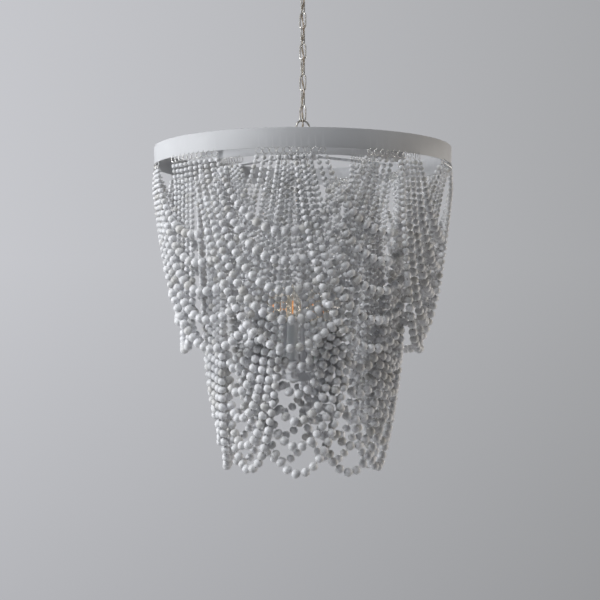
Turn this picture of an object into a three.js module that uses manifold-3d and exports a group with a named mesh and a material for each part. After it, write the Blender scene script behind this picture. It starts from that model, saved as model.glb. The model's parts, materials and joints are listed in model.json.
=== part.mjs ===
// A beaded chandelier: a chain, two painted rings, two tiers of bead swags and six candle lights.
// Millimetres, +Z up. The ceiling is at z = 0 and the lamp hangs below it.
import * as THREE from 'three';
import { mergeVertices } from 'three/addons/utils/BufferGeometryUtils.js';
import Module from 'manifold-3d';

const wasm = await Module();
wasm.setup();

// Fits
const seatGap = 0.3;
const cutOverrun = 2;
const mergeDistance = 1e-4;

// Ceiling fittings
const strapLength = 100;
const strapWidth = 16;
const strapThickness = 2.5;
const studRadius = 5;
const canopyRadius = 62.5;
const canopyDepth = 26;
const canopySheet = 1.2;
const canopyRimHeight = 4;
const canopyFloorRadius = 18;
const flangeRadius = 13;
const flangeThickness = 5;
const canopyLoopRadius = 12;
const canopyLoopWire = 2.5;

// Chain
const linkCount = 8;
const linkPitch = 32;
const linkWidth = 16;
const linkWire = 1.5;
const chainTurnDeg = -28;

// Supply cord, woven through the chain from front to back
const cordRadius = 2.3;
const cordSwing = 6.6;
const cordSwingAtLoop = 6;
const cordGap = 1.6;
const cordTurnDeg = -73;
const cordTurnAtLoopDeg = -90;

// Hanging loop of the lamp
const loopRadius = 15.25;
const loopWire = 2;
const loopTurnDeg = 28;
const loopBaseRadius = 9;
const loopBaseHeight = 12;
const loopSpigotLength = 10;

// Rings and spokes
const outerRingRadius = 305;
const outerBandHeight = 37.5;
const innerBandHeight = 25;
const bandThickness = 1.6;
const neckHeight = 18;
const spokeCount = 4;
const spokeWidth = 16;
const spokeThickness = 3;
const spokeTurnDeg = -49.4;

// Hub, stem, dish and finial
const hubRadius = 32;
const hubThickness = 6;
const hubBossRadius = 9.2;
const hubBossHeight = 12;
const stemRadius = 5;
const stemBore = 3.5;
const dishDrop = 423;
const dishRadius = 36;
const dishHeight = 15;
const dishBevel = 3;
const dishWall = 2;
const coverRadius = 33;
const coverThickness = 1.6;
const finialRadius = 8;
const finialNeckRadius = 3.4;
const finialNeckLength = 3;
const finialScrewLength = 8;

// Candle lights
const candleCount = 6;
const candleCircle = 62;
const candleTurnDeg = -109.5;
const armRadius = 4;
const armBelowDishTop = 8;
const armBend = 12;
const cupRise = 34.5;
const cupHeight = 18;
const cupNeckRadius = 7.5;
const cupPlateRadius = 13;
const cupPlateThickness = 2.5;
const sleeveRadius = 12;
const sleeveWall = 1.4;
const sleeveHeight = 78;
const socketRadius = 9.6;
const socketShortfall = 4;
const socketDepth = 19;
const bulbBaseRadius = 6;
const bulbNeckRadius = 7.8;
const bulbRadius = 17.5;
const bulbHeight = 75;
const bulbOutlineShares = [
  [0.75, 0.14],
  [0.97, 0.3],
  [1, 0.42],
  [0.85, 0.62],
  [0.5, 0.81],
  [0.22, 0.94],
  [0, 1],
];

// Bead swags: nine clusters of ten hooks, five rows of swags nested between next-but-one clusters
const clusterCount = 9;
const rowCount = 5;
const clusterTurnDeg = -4.4;
const upperHookPitchDeg = 2.5;
const lowerHookPitchDeg = 3.1;
const tierGap = 27;
const hookRadius = 1.2;
const hookLength = 8;
const lowRadius = 8;

// Half the angle that a row spans on its ring, and the distance of its chord from the axis
const hookDegOf = (row, pitchDeg) => 360 / clusterCount + (row - rowCount + 0.5) * pitchDeg;
const upperHookRing = outerRingRadius - bandThickness / 2;
const upperInset = upperHookRing * Math.cos((hookDegOf(rowCount - 1, upperHookPitchDeg) * Math.PI) / 180);
const innerRingRadius = upperInset - tierGap;

const upperTier = {
  ringRadius: outerRingRadius,
  hookPitchDeg: upperHookPitchDeg,
  firstDrop: 154,
  dropStep: 55.5,
  endRadius: 4.8,
  growthPower: 1.3,
  passShift: 5.5,
  passRun: 20,
  deepRowsOutside: true,
  taperShare: 0,
};
const lowerTier = {
  ringRadius: innerRingRadius,
  hookPitchDeg: lowerHookPitchDeg,
  firstDrop: 413,
  dropStep: 51.5,
  endRadius: 4.6,
  growthPower: 2.2,
  passShift: 8.5,
  passRun: 24,
  deepRowsOutside: false,
  taperShare: 0.09,
};
const taperPower = 2.5;
const passFadeLength = 60;
const belowPassShare = 0.45;
const abovePassShare = 0.42;
const flattestSwag = 0.01;
const steepestSwag = 12;
const swagTolerance = 1e-9;

// Facets
const bandSides = 54;
const canopySides = 24;
const hubSides = 24;
const stemSides = 12;
const candleSides = 8;
const finialSides = 12;
const wireSides = 6;
const linkSteps = 12;
const loopSteps = 20;
const cordSides = 8;
const cordSteps = 4;
const armSides = 6;
const armSteps = 6;
const domeSteps = 3;
const ballSteps = 6;
const strandSides = 4;

// Heights, worked out downwards from the ceiling
const canopyFloorZ = -canopyDepth;
const flangeTopZ = canopyFloorZ - seatGap;
const flangeBottomZ = flangeTopZ - flangeThickness;
const canopyLoopZ = flangeBottomZ - canopyLoopRadius;
const linkHang = 2 * linkWire + seatGap;
const linkHalf = (linkPitch + linkHang) / 2;
const firstPivotZ = canopyLoopZ - canopyLoopRadius;
const firstLinkZ = firstPivotZ + canopyLoopWire + linkWire + seatGap - linkHalf;
const lastLinkZ = firstLinkZ - (linkCount - 1) * linkPitch;
const lastPivotZ = lastLinkZ - linkHalf;
const loopZ = lastPivotZ + linkWire + loopWire + seatGap - loopRadius;
const loopBaseTopZ = loopZ - loopRadius;
const loopBaseBottomZ = loopBaseTopZ - loopBaseHeight;
const ringBottomZ = loopBaseBottomZ - neckHeight - outerBandHeight;
const spokeZ = ringBottomZ + innerBandHeight + seatGap;
const hubTopZ = spokeZ - seatGap;
const stemTopZ = loopBaseBottomZ - seatGap;
const dishTopZ = ringBottomZ - dishDrop;
const dishBottomZ = dishTopZ - dishHeight;
const armZ = dishTopZ - armBelowDishTop;
const cupTopZ = armZ + cupRise;
const sleeveBottomZ = cupTopZ + seatGap;
const sleeveTopZ = sleeveBottomZ + sleeveHeight;
const socketTopZ = sleeveTopZ - socketShortfall;

// Finishes
const finish = (color, roughness, metalness) =>
  new THREE.MeshStandardMaterial({ color, roughness, metalness });
const paint = finish(0xe4e4e2, 0.55, 0.1);
const chainMetal = finish(0xb9b3a6, 0.35, 0.8);
const wood = finish(0xcfd0d2, 0.75, 0);
const cordPlastic = finish(0xb79c7c, 0.4, 0);
const sleevePlastic = finish(0xe9e8e4, 0.6, 0);
const bulbGlass = finish(0xf2e6cf, 0.1, 0);
const zinc = finish(0xa8a9ab, 0.4, 0.9);

const part = new THREE.Group();
part.name = 'beaded_chandelier';

// Shared helpers
const radians = THREE.MathUtils.degToRad;
const polar = (radius, deg, z) =>
  new THREE.Vector3(radius * Math.cos(radians(deg)), radius * Math.sin(radians(deg)), z);

function signedVolume(position, index) {
  const corners = [new THREE.Vector3(), new THREE.Vector3(), new THREE.Vector3()];
  let volume = 0;
  for (let i = 0; i < index.length; i += 3) {
    corners.forEach((corner, k) => corner.fromBufferAttribute(position, index[i + k]));
    volume += corners[0].dot(corners[1].cross(corners[2]));
  }
  return volume;
}

// One closed skin with its faces outward, whatever way round its outline was drawn
function closedBody(geometry) {
  geometry.deleteAttribute('normal');
  geometry.deleteAttribute('uv');
  const merged = mergeVertices(geometry, mergeDistance);
  const index = [];
  for (let i = 0; i < merged.index.count; i += 3) {
    const [a, b, c] = [0, 1, 2].map((k) => merged.index.getX(i + k));
    if (a !== b && b !== c && c !== a) index.push(a, b, c);
  }
  if (signedVolume(merged.attributes.position, index) < 0) index.reverse();
  merged.setIndex(index);
  return merged;
}

function toManifold(geometry) {
  const body = closedBody(geometry);
  return new wasm.Manifold(new wasm.Mesh({
    numProp: 3,
    vertProperties: new Float32Array(body.attributes.position.array),
    triVerts: new Uint32Array(body.index.array),
  }));
}

function fromManifold(manifold) {
  const mesh = manifold.getMesh();
  const geometry = new THREE.BufferGeometry();
  geometry.setAttribute('position', new THREE.BufferAttribute(mesh.vertProperties, mesh.numProp));
  geometry.setIndex(new THREE.BufferAttribute(mesh.triVerts, 1));
  return geometry;
}

const joined = (...shapes) => fromManifold(wasm.Manifold.union(shapes.map(toManifold)));
const cut = (shape, tool) => fromManifold(toManifold(shape).subtract(toManifold(tool)));

function add(name, geometry, material) {
  const body = closedBody(geometry);
  body.computeVertexNormals();
  const mesh = new THREE.Mesh(body, material);
  mesh.name = name;
  part.add(mesh);
}

// A turned piece about the Z axis, from [radius, height] points
function turned(profile, sides) {
  const points = profile.map(([radius, z]) => new THREE.Vector2(radius, z));
  return new THREE.LatheGeometry(points, sides).rotateX(Math.PI / 2);
}

function tubeProfile(outer, inner, bottomZ, topZ) {
  return [[inner, bottomZ], [outer, bottomZ], [outer, topZ], [inner, topZ], [inner, bottomZ]];
}

function rod(radius, bottomZ, topZ, sides) {
  return turned([[0, bottomZ], [radius, bottomZ], [radius, topZ], [0, topZ]], sides);
}

// A round wire ring that stands upright, its top at the end of its own plane
function wireRing(radius, wire, z, turnDeg) {
  const ring = new THREE.TorusGeometry(radius, wire, wireSides, loopSteps);
  return ring.rotateX(Math.PI / 2).rotateZ(radians(turnDeg)).translate(0, 0, z);
}

function roundSection(radius, sides) {
  const shape = new THREE.Shape();
  for (let i = 0; i < sides; i += 1) {
    const angle = (2 * Math.PI * i) / sides;
    const move = i === 0 ? 'moveTo' : 'lineTo';
    shape[move](radius * Math.cos(angle), radius * Math.sin(angle));
  }
  shape.closePath();
  return shape;
}

const along = (path, radius, sides, steps) =>
  new THREE.ExtrudeGeometry(roundSection(radius, sides), { steps, extrudePath: path });

// Ceiling strap, canopy and the loop that clamps them
function addCeilingFittings() {
  const strap = new THREE.BoxGeometry(strapLength, strapWidth, strapThickness);
  strap.translate(0, 0, -strapThickness / 2);
  const hole = rod(studRadius + seatGap, -strapThickness - cutOverrun, cutOverrun, stemSides);
  add('ceiling_strap', cut(strap, hole), zinc);

  const holeRadius = studRadius + seatGap;
  const dome = (wall) => {
    const points = [];
    for (let i = 0; i <= domeSteps; i += 1) {
      const angle = (i / domeSteps) * (Math.PI / 2);
      const reach = canopyRadius - wall - canopyFloorRadius;
      const fall = canopyDepth - wall - canopyRimHeight;
      points.push([
        canopyFloorRadius + reach * Math.sin(angle),
        -canopyRimHeight - fall * Math.cos(angle),
      ]);
    }
    return points;
  };
  add('ceiling_canopy', turned([
    [holeRadius, canopyFloorZ],
    ...dome(0),
    [canopyRadius, 0],
    [canopyRadius - canopySheet, 0],
    ...dome(canopySheet).reverse(),
    [holeRadius, canopyFloorZ + canopySheet],
    [holeRadius, canopyFloorZ],
  ], canopySides), paint);

  const flange = turned([
    [0, flangeBottomZ],
    [flangeRadius, flangeBottomZ],
    [flangeRadius, flangeTopZ],
    [studRadius, flangeTopZ],
    [studRadius, -seatGap],
    [0, -seatGap],
  ], stemSides);
  const ring = wireRing(canopyLoopRadius, canopyLoopWire, canopyLoopZ, chainTurnDeg);
  add('canopy_loop', joined(flange, ring), chainMetal);
}

// An oval link: a ring whose two halves are drawn apart
function linkGeometry() {
  const bend = linkWidth / 2 - linkWire;
  const link = new THREE.TorusGeometry(bend, linkWire, wireSides, linkSteps);
  link.rotateZ(Math.PI / linkSteps).rotateX(Math.PI / 2);
  const position = link.attributes.position;
  for (let i = 0; i < position.count; i += 1) {
    const z = position.getZ(i);
    position.setZ(i, z + Math.sign(z) * (linkHalf - bend));
  }
  return link;
}

const linkTurnDeg = (number) => chainTurnDeg + ((linkCount - number) % 2) * 90;

function addChain() {
  for (let number = 1; number <= linkCount; number += 1) {
    const link = linkGeometry().rotateZ(radians(linkTurnDeg(number)));
    link.translate(0, 0, firstLinkZ - (number - 1) * linkPitch);
    add('chain_link_' + number, link, chainMetal);
  }
}

// The cord's easy S between two sides of the chain
class CordCurve extends THREE.Curve {
  constructor(start, end) {
    super();
    this.start = start;
    this.end = end;
  }

  getPoint(share, target = new THREE.Vector3()) {
    const across = (1 - Math.cos(Math.PI * share)) / 2;
    target.lerpVectors(this.start, this.end, across);
    target.z = THREE.MathUtils.lerp(this.start.z, this.end.z, share);
    return target;
  }
}

function addCord() {
  const sides = [];
  for (let pivot = 0; pivot <= linkCount; pivot += 1) {
    const last = pivot === linkCount;
    const wireRoom = pivot === 0 ? canopyLoopWire - linkWire : 0;
    const swing = (last ? cordSwingAtLoop : cordSwing) + wireRoom;
    const back = (linkCount - pivot) % 2 === 1;
    const deg = (last ? cordTurnAtLoopDeg : cordTurnDeg) + (back ? 180 : 0);
    const z = pivot === 0 ? firstPivotZ : firstLinkZ - (pivot - 1) * linkPitch - linkHalf;
    sides.push(polar(swing, deg, z));
  }
  const shifted = (point, rise) => point.clone().setZ(point.z + rise);
  const top = shifted(sides[0], flangeBottomZ - seatGap - sides[0].z);
  const bottom = shifted(sides[linkCount], loopBaseTopZ + seatGap - sides[linkCount].z);
  const stations = [top, ...sides, bottom];
  for (let number = 1; number < stations.length; number += 1) {
    const start = shifted(stations[number - 1], number === 1 ? 0 : -cordGap / 2);
    const end = shifted(stations[number], number === stations.length - 1 ? 0 : cordGap / 2);
    const cord = along(new CordCurve(start, end), cordRadius, cordSides, cordSteps);
    add('supply_cord_' + number, cord, cordPlastic);
  }
}

// The lamp's own loop and the stem that it screws into
function addStem() {
  const spigotRadius = stemBore - seatGap;
  const base = turned([
    [0, loopBaseBottomZ - loopSpigotLength],
    [spigotRadius, loopBaseBottomZ - loopSpigotLength],
    [spigotRadius, loopBaseBottomZ],
    [loopBaseRadius, loopBaseBottomZ],
    [loopBaseRadius, loopBaseTopZ],
    [0, loopBaseTopZ],
  ], stemSides);
  add('hanging_loop', joined(base, wireRing(loopRadius, loopWire, loopZ, loopTurnDeg)), chainMetal);

  const stemBottomZ = dishBottomZ + seatGap;
  add('centre_stem', turned(tubeProfile(stemRadius, stemBore, stemBottomZ, stemTopZ), stemSides), paint);
}

// Flat spokes lie on the hub and on the inner ring, and end inside the outer ring
function addFrame() {
  const boreRadius = stemRadius + seatGap;
  add('frame_hub', turned([
    [boreRadius, hubTopZ - hubThickness],
    [hubRadius, hubTopZ - hubThickness],
    [hubRadius, hubTopZ],
    [hubBossRadius, hubTopZ],
    [hubBossRadius, hubTopZ + hubBossHeight],
    [boreRadius, hubTopZ + hubBossHeight],
    [boreRadius, hubTopZ - hubThickness],
  ], hubSides), paint);

  const band = (radius, height) =>
    turned(tubeProfile(radius, radius - bandThickness, ringBottomZ, ringBottomZ + height), bandSides);
  add('outer_ring', band(outerRingRadius, outerBandHeight), paint);
  add('inner_ring', band(innerRingRadius, innerBandHeight), paint);

  const flatRadius = (outerRingRadius - bandThickness) * Math.cos(Math.PI / bandSides);
  const spokeStart = hubBossRadius + seatGap;
  const spokeEnd = flatRadius - seatGap;
  for (let number = 1; number <= spokeCount; number += 1) {
    const spoke = new THREE.BoxGeometry(spokeEnd - spokeStart, spokeWidth, spokeThickness);
    spoke.translate((spokeStart + spokeEnd) / 2, 0, spokeZ + spokeThickness / 2);
    spoke.rotateZ(radians(spokeTurnDeg + (360 / spokeCount) * (number - 1)));
    add('frame_spoke_' + number, spoke, paint);
  }
}

// A hollow dish on the stem, closed below by a cover with a ball finial
function addDish() {
  const boreRadius = stemRadius + seatGap;
  const inner = dishRadius - dishWall;
  add('bottom_dish', turned([
    [boreRadius, dishTopZ - dishWall],
    [boreRadius, dishTopZ],
    [dishRadius - dishBevel, dishTopZ],
    [dishRadius, dishTopZ - dishBevel],
    [dishRadius, dishBottomZ],
    [inner, dishBottomZ],
    [inner, dishTopZ - dishBevel],
    [inner - dishWall, dishTopZ - dishWall],
    [boreRadius, dishTopZ - dishWall],
  ], hubSides), paint);

  const screwRadius = stemBore - seatGap;
  const coverBottomZ = dishBottomZ - coverThickness;
  const ballZ = coverBottomZ - finialNeckLength - finialRadius;
  const profile = [
    [0, dishBottomZ + finialScrewLength],
    [screwRadius, dishBottomZ + finialScrewLength],
    [screwRadius, dishBottomZ],
    [coverRadius, dishBottomZ],
    [coverRadius, coverBottomZ],
    [finialNeckRadius, coverBottomZ],
  ];
  const neckAngle = Math.asin(finialNeckRadius / finialRadius);
  for (let i = 0; i <= ballSteps; i += 1) {
    const angle = neckAngle + ((Math.PI - neckAngle) * i) / ballSteps;
    const radius = i === ballSteps ? 0 : finialRadius * Math.sin(angle);
    profile.push([radius, ballZ + finialRadius * Math.cos(angle)]);
  }
  add('bottom_finial', turned(profile, finialSides), paint);
}

// Each light: an arm with its cup and lamp socket, a candle sleeve and a screw-in bulb
function candleArm() {
  const cupPlateZ = cupTopZ - cupPlateThickness;
  const cupBottomZ = cupPlateZ - cupHeight;
  const path = new THREE.CurvePath();
  const start = new THREE.Vector3(dishRadius + seatGap, 0, armZ);
  const turn = new THREE.Vector3(candleCircle - armBend, 0, armZ);
  const corner = new THREE.Vector3(candleCircle, 0, armZ);
  const rise = new THREE.Vector3(candleCircle, 0, armZ + armBend);
  const end = new THREE.Vector3(candleCircle, 0, cupBottomZ + cutOverrun);
  path.add(new THREE.LineCurve3(start, turn));
  path.add(new THREE.QuadraticBezierCurve3(turn, corner, rise));
  if (end.z > rise.z) path.add(new THREE.LineCurve3(rise, end));
  const arm = along(path, armRadius, armSides, armSteps);
  const socketFloorZ = socketTopZ - socketDepth;
  const boreRadius = (bulbBaseRadius + seatGap) / Math.cos(Math.PI / candleSides);
  const cup = turned([
    [0, cupBottomZ],
    [cupNeckRadius, cupBottomZ],
    [cupNeckRadius, cupPlateZ],
    [cupPlateRadius, cupPlateZ],
    [cupPlateRadius, cupTopZ],
    [socketRadius, cupTopZ],
    [socketRadius, socketTopZ],
    [boreRadius, socketTopZ],
    [boreRadius, socketFloorZ],
    [0, socketFloorZ],
  ], candleSides);
  return joined(arm, cup.translate(candleCircle, 0, 0));
}

function bulb() {
  const baseBottomZ = socketTopZ - socketDepth + seatGap;
  const baseTopZ = sleeveTopZ - socketShortfall / 2;
  const profile = [
    [0, baseBottomZ],
    [bulbBaseRadius, baseBottomZ],
    [bulbBaseRadius, baseTopZ],
    [bulbNeckRadius, sleeveTopZ],
  ];
  bulbOutlineShares.forEach(([across, up]) => {
    profile.push([bulbRadius * across, sleeveTopZ + bulbHeight * up]);
  });
  return turned(profile, candleSides).translate(candleCircle, 0, 0);
}

function addCandles() {
  for (let number = 1; number <= candleCount; number += 1) {
    const turn = radians(candleTurnDeg + (360 / candleCount) * (number - 1));
    add('candle_arm_' + number, candleArm().rotateZ(turn), paint);
    const sleeve = turned(
      tubeProfile(sleeveRadius, sleeveRadius - sleeveWall, sleeveBottomZ, sleeveTopZ),
      candleSides,
    );
    sleeve.translate(candleCircle, 0, 0).rotateZ(turn);
    add('candle_sleeve_' + number, sleeve, sleevePlastic);
    add('candle_bulb_' + number, bulb().rotateZ(turn), bulbGlass);
  }
}

// The size of the catenary that hangs by this drop over this half span
function catenarySize(halfSpan, drop) {
  let low = flattestSwag;
  let high = steepestSwag;
  while (high - low > swagTolerance) {
    const middle = (low + high) / 2;
    if ((Math.cosh(middle) - 1) / middle < drop / halfSpan) low = middle;
    else high = middle;
  }
  return halfSpan / low;
}

const easeInOut = (share) => {
  const held = THREE.MathUtils.clamp(share, 0, 1);
  return held * held * (3 - 2 * held);
};

// One swag centred under the front of the ring, as places with a radius.
// It hangs in the upright plane of its two hooks. Where it passes the swags beside it, it moves
// to one side above the crossing with its own row and to the other side below.
function swagStations(tier, row) {
  const pitch = 360 / clusterCount;
  const hookDeg = hookDegOf(row, tier.hookPitchDeg);
  const hookRing = tier.ringRadius - bandThickness / 2;
  const halfSpan = hookRing * Math.sin(radians(hookDeg));
  const inset = hookRing * Math.cos(radians(hookDeg));
  const drop = tier.firstDrop + row * tier.dropStep - seatGap;
  const deepest = tier.firstDrop + (rowCount - 1) * tier.dropStep;
  const size = catenarySize(halfSpan, drop);
  const halfLength = size * Math.sinh(halfSpan / size);
  const heightAt = (across) => size * (Math.cosh(across / size) - 1) - drop - seatGap;
  const passAcross = inset * Math.tan(radians(pitch / 2));
  const passLength = size * Math.sinh(passAcross / size);
  const passZ = heightAt(passAcross);
  const side = tier.deepRowsOutside ? 1 : -1;

  const passTop = passLength + tier.passRun;
  const passBottom = passLength - tier.passRun;
  const hookStart = halfLength - hookLength;
  const lengths = [
    0,
    belowPassShare * passBottom,
    passBottom,
    passTop,
    THREE.MathUtils.lerp(passTop, hookStart, abovePassShare),
    hookStart,
    halfLength,
  ];
  const both = [...lengths.slice(1).reverse().map((length) => -length), ...lengths];
  return both.map((length) => {
    const across = size * Math.asinh(length / size);
    const z = heightAt(across);
    const taper = 1 - tier.taperShare * Math.min(1, -z / deepest) ** taperPower;
    const pass = THREE.MathUtils.clamp((z - passZ) / tier.passRun, -1, 1);
    const shift = side * tier.passShift * pass * easeInOut(-z / passFadeLength);
    const reach = Math.hypot(across, inset) * taper + shift;
    const turn = Math.atan2(across, inset);
    const share = Math.abs(length) / halfLength;
    const growth = (1 - share) ** tier.growthPower;
    return {
      place: new THREE.Vector3(reach * Math.sin(turn), -reach * Math.cos(turn), z + ringBottomZ),
      radius: share === 1 ? hookRadius : THREE.MathUtils.lerp(tier.endRadius, lowRadius, growth),
    };
  });
}

// A closed strand through the stations, its section square to it with one corner outward.
// Its two ends are level, under the band.
function strand(stations) {
  const corners = [];
  stations.forEach(({ place, radius }, i) => {
    const before = stations[Math.max(i - 1, 0)].place;
    const after = stations[Math.min(i + 1, stations.length - 1)].place;
    const tangent = after.clone().sub(before);
    if (place === before || place === after) tangent.setX(0).setY(0);
    tangent.normalize();
    const outward = new THREE.Vector3(place.x, place.y, 0).normalize();
    outward.addScaledVector(tangent, -outward.dot(tangent)).normalize();
    const sideways = tangent.clone().cross(outward);
    for (let k = 0; k < strandSides; k += 1) {
      const angle = (2 * Math.PI * k) / strandSides;
      const corner = place.clone().addScaledVector(outward, radius * Math.cos(angle));
      corners.push(corner.addScaledVector(sideways, radius * Math.sin(angle)));
    }
  });
  const index = [];
  for (let i = 0; i < stations.length - 1; i += 1) {
    for (let k = 0; k < strandSides; k += 1) {
      const a = i * strandSides + k;
      const b = i * strandSides + ((k + 1) % strandSides);
      index.push(a, b, b + strandSides, a, b + strandSides, a + strandSides);
    }
  }
  const last = (stations.length - 1) * strandSides;
  for (let k = 1; k < strandSides - 1; k += 1) {
    index.push(0, k + 1, k, last, last + k, last + k + 1);
  }
  const geometry = new THREE.BufferGeometry().setFromPoints(corners);
  geometry.setIndex(index);
  return geometry;
}

// A row is nine swags of one length, touching where each crosses the next
function addSwags(name, tier) {
  for (let row = 0; row < rowCount; row += 1) {
    const swag = toManifold(strand(swagStations(tier, row)));
    const swags = [];
    for (let cluster = 0; cluster < clusterCount; cluster += 1) {
      swags.push(swag.rotate([0, 0, clusterTurnDeg + (360 / clusterCount) * cluster]));
    }
    add(name + '_' + (row + 1), fromManifold(wasm.Manifold.union(swags)), wood);
  }
}

addCeilingFittings();
addChain();
addCord();
addStem();
addFrame();
addDish();
addCandles();
addSwags('upper_swags', upperTier);
addSwags('lower_swags', lowerTier);

export default part;
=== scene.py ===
import json
import math
import random

import bmesh
import bpy
import numpy as np
from mathutils import Matrix, Vector
from mathutils.kdtree import KDTree

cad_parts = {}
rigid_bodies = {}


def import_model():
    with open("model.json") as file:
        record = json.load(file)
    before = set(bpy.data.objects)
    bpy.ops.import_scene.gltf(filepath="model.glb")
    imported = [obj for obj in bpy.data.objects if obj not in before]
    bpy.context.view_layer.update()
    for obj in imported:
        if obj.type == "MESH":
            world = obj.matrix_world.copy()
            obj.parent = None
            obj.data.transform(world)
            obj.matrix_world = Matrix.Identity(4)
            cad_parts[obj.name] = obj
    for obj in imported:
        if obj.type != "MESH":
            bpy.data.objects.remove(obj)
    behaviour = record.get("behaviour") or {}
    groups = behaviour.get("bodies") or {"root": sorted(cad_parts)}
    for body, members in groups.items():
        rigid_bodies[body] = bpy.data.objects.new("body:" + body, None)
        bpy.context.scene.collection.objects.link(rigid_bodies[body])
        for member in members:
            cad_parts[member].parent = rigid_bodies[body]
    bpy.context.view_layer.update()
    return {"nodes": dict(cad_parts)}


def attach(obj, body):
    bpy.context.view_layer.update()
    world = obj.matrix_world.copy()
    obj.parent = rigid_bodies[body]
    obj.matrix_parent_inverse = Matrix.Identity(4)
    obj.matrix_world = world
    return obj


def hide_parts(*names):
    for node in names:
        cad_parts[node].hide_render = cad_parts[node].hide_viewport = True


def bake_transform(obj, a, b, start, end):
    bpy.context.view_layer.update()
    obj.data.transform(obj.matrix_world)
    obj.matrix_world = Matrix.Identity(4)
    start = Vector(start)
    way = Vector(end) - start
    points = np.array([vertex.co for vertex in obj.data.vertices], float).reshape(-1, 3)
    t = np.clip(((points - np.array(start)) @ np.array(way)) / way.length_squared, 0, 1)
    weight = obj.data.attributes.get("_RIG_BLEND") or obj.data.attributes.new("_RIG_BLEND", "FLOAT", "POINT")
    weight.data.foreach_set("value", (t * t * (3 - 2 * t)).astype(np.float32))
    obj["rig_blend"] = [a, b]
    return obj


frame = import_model()

mm = 0.001
scene = bpy.context.scene
scene.view_settings.view_transform = "Standard"
print("frame loaded:", len(frame["nodes"]), "nodes")

# camera: level, a little under the rings, with the picture cropped from above
view = {"place": (-0.0058, -2.8975, -0.7699), "lens": 84.24, "shiftY": 0.075, "farthest": 100}
cameraData = bpy.data.cameras.new("camera")
cameraData.lens = view["lens"]
cameraData.shift_y = view["shiftY"]
cameraData.clip_end = view["farthest"]
camera = bpy.data.objects.new("camera", cameraData)
camera.location = view["place"]
camera.rotation_euler = (math.pi / 2, 0, 0)
scene.collection.objects.link(camera)
scene.camera = camera

# heights and places that several pieces share, in mm
heights = {
    "canopyLoop": -43.3, "firstPivot": -55.3, "firstLink": -68.65, "linkPitch": 32, "linkHalf": 17.65,
    "loop": -321.75, "ringBottom": -404.5, "dishTop": -827.5, "dishBottom": -842.5,
    "arm": -835.5, "cupTop": -801, "socketTop": -726.7,
}
candles = {"count": 6, "circle": 62, "turnDeg": -109.5}
bands = {"outerRadius": 305, "outerHeight": 37.5, "innerRadius": 210.236, "innerHeight": 25, "thickness": 1.6}
clusters = {"count": 9, "turnDeg": -4.4, "rows": 5}


def polar(radius, deg, z):
    turn = math.radians(deg)
    return Vector((radius * math.cos(turn), radius * math.sin(turn), z))


def lerp(a, b, share):
    return a + (b - a) * share


def newPiece(name, points, faces, edges=(), smooth=True):
    # points in mm
    mesh = bpy.data.meshes.new(name)
    mesh.from_pydata([Vector(p) * mm for p in points], edges, faces)
    mesh.update()
    if smooth and faces:
        mesh.shade_smooth()
    piece = bpy.data.objects.new(name, mesh)
    scene.collection.objects.link(piece)
    return piece


def faceOut(piece):
    work = bmesh.new()
    work.from_mesh(piece.data)
    bmesh.ops.remove_doubles(work, verts=work.verts, dist=1e-6)
    bmesh.ops.recalc_face_normals(work, faces=work.faces)
    work.to_mesh(piece.data)
    work.free()


def softened(profile, radius, steps=3, closed=False):
    # rounds the corners of a profile; a corner may carry a radius of its own
    points = []
    count = len(profile)
    for i, corner in enumerate(profile):
        own = corner[2] if len(corner) > 2 else radius
        here = Vector(corner[:2])
        if own <= 0 or (not closed and i in (0, count - 1)):
            points.append(tuple(here))
            continue
        before = Vector(profile[i - 1][:2]) - here
        after = Vector(profile[(i + 1) % count][:2]) - here
        reach = min(own, before.length * 0.48, after.length * 0.48)
        start = here + before.normalized() * reach
        end = here + after.normalized() * reach
        for k in range(steps + 1):
            t = k / steps
            point = start * (1 - t) ** 2 + here * (2 * t * (1 - t)) + end * t ** 2
            points.append(tuple(point))
    return points


def lathe(name, profile, sides, centre=(0, 0), closed=False):
    # profile of (radius, z) in mm, from the axis to the axis, or closed on itself
    points, rings = [], []
    for radius, z in profile:
        if radius < 1e-6:
            rings.append([len(points)])
            points.append((centre[0], centre[1], z))
            continue
        rings.append(list(range(len(points), len(points) + sides)))
        for k in range(sides):
            turn = 2 * math.pi * k / sides
            points.append((centre[0] + radius * math.cos(turn), centre[1] + radius * math.sin(turn), z))
    faces = []
    pairs = list(zip(rings, rings[1:])) + ([(rings[-1], rings[0])] if closed else [])
    for low, high in pairs:
        for k in range(sides):
            n = (k + 1) % sides
            if len(low) == 1 and len(high) == 1:
                continue
            if len(low) == 1:
                faces.append((low[0], high[n], high[k]))
            elif len(high) == 1:
                faces.append((low[k], low[n], high[0]))
            else:
                faces.append((low[k], low[n], high[n], high[k]))
    piece = newPiece(name, points, faces)
    faceOut(piece)
    piece.data.shade_smooth()
    return piece


def merged(name, pieces):
    # one object from several, each with its own materials
    work = bmesh.new()
    materials = []
    for piece in pieces:
        lookup = []
        for material in piece.data.materials:
            if material not in materials:
                materials.append(material)
            lookup.append(materials.index(material))
        start = len(work.faces)
        work.from_mesh(piece.data)
        work.faces.ensure_lookup_table()
        for face in work.faces[start:]:
            face.material_index = lookup[face.material_index] if lookup else 0
    mesh = bpy.data.meshes.new(name)
    work.to_mesh(mesh)
    work.free()
    for material in materials:
        mesh.materials.append(material)
    for piece in pieces:
        old = piece.data
        bpy.data.objects.remove(piece)
        bpy.data.meshes.remove(old)
    result = bpy.data.objects.new(name, mesh)
    scene.collection.objects.link(result)
    return result


def finishModifiers(piece):
    # leaves the modifiers' result as a plain mesh
    bpy.context.view_layer.update()
    graph = bpy.context.evaluated_depsgraph_get()
    mesh = bpy.data.meshes.new_from_object(piece.evaluated_get(graph), preserve_all_data_layers=True,
                                           depsgraph=graph)
    old = piece.data
    piece.modifiers.clear()
    piece.data = mesh
    mesh.name = piece.name
    bpy.data.meshes.remove(old)
    return piece


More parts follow.
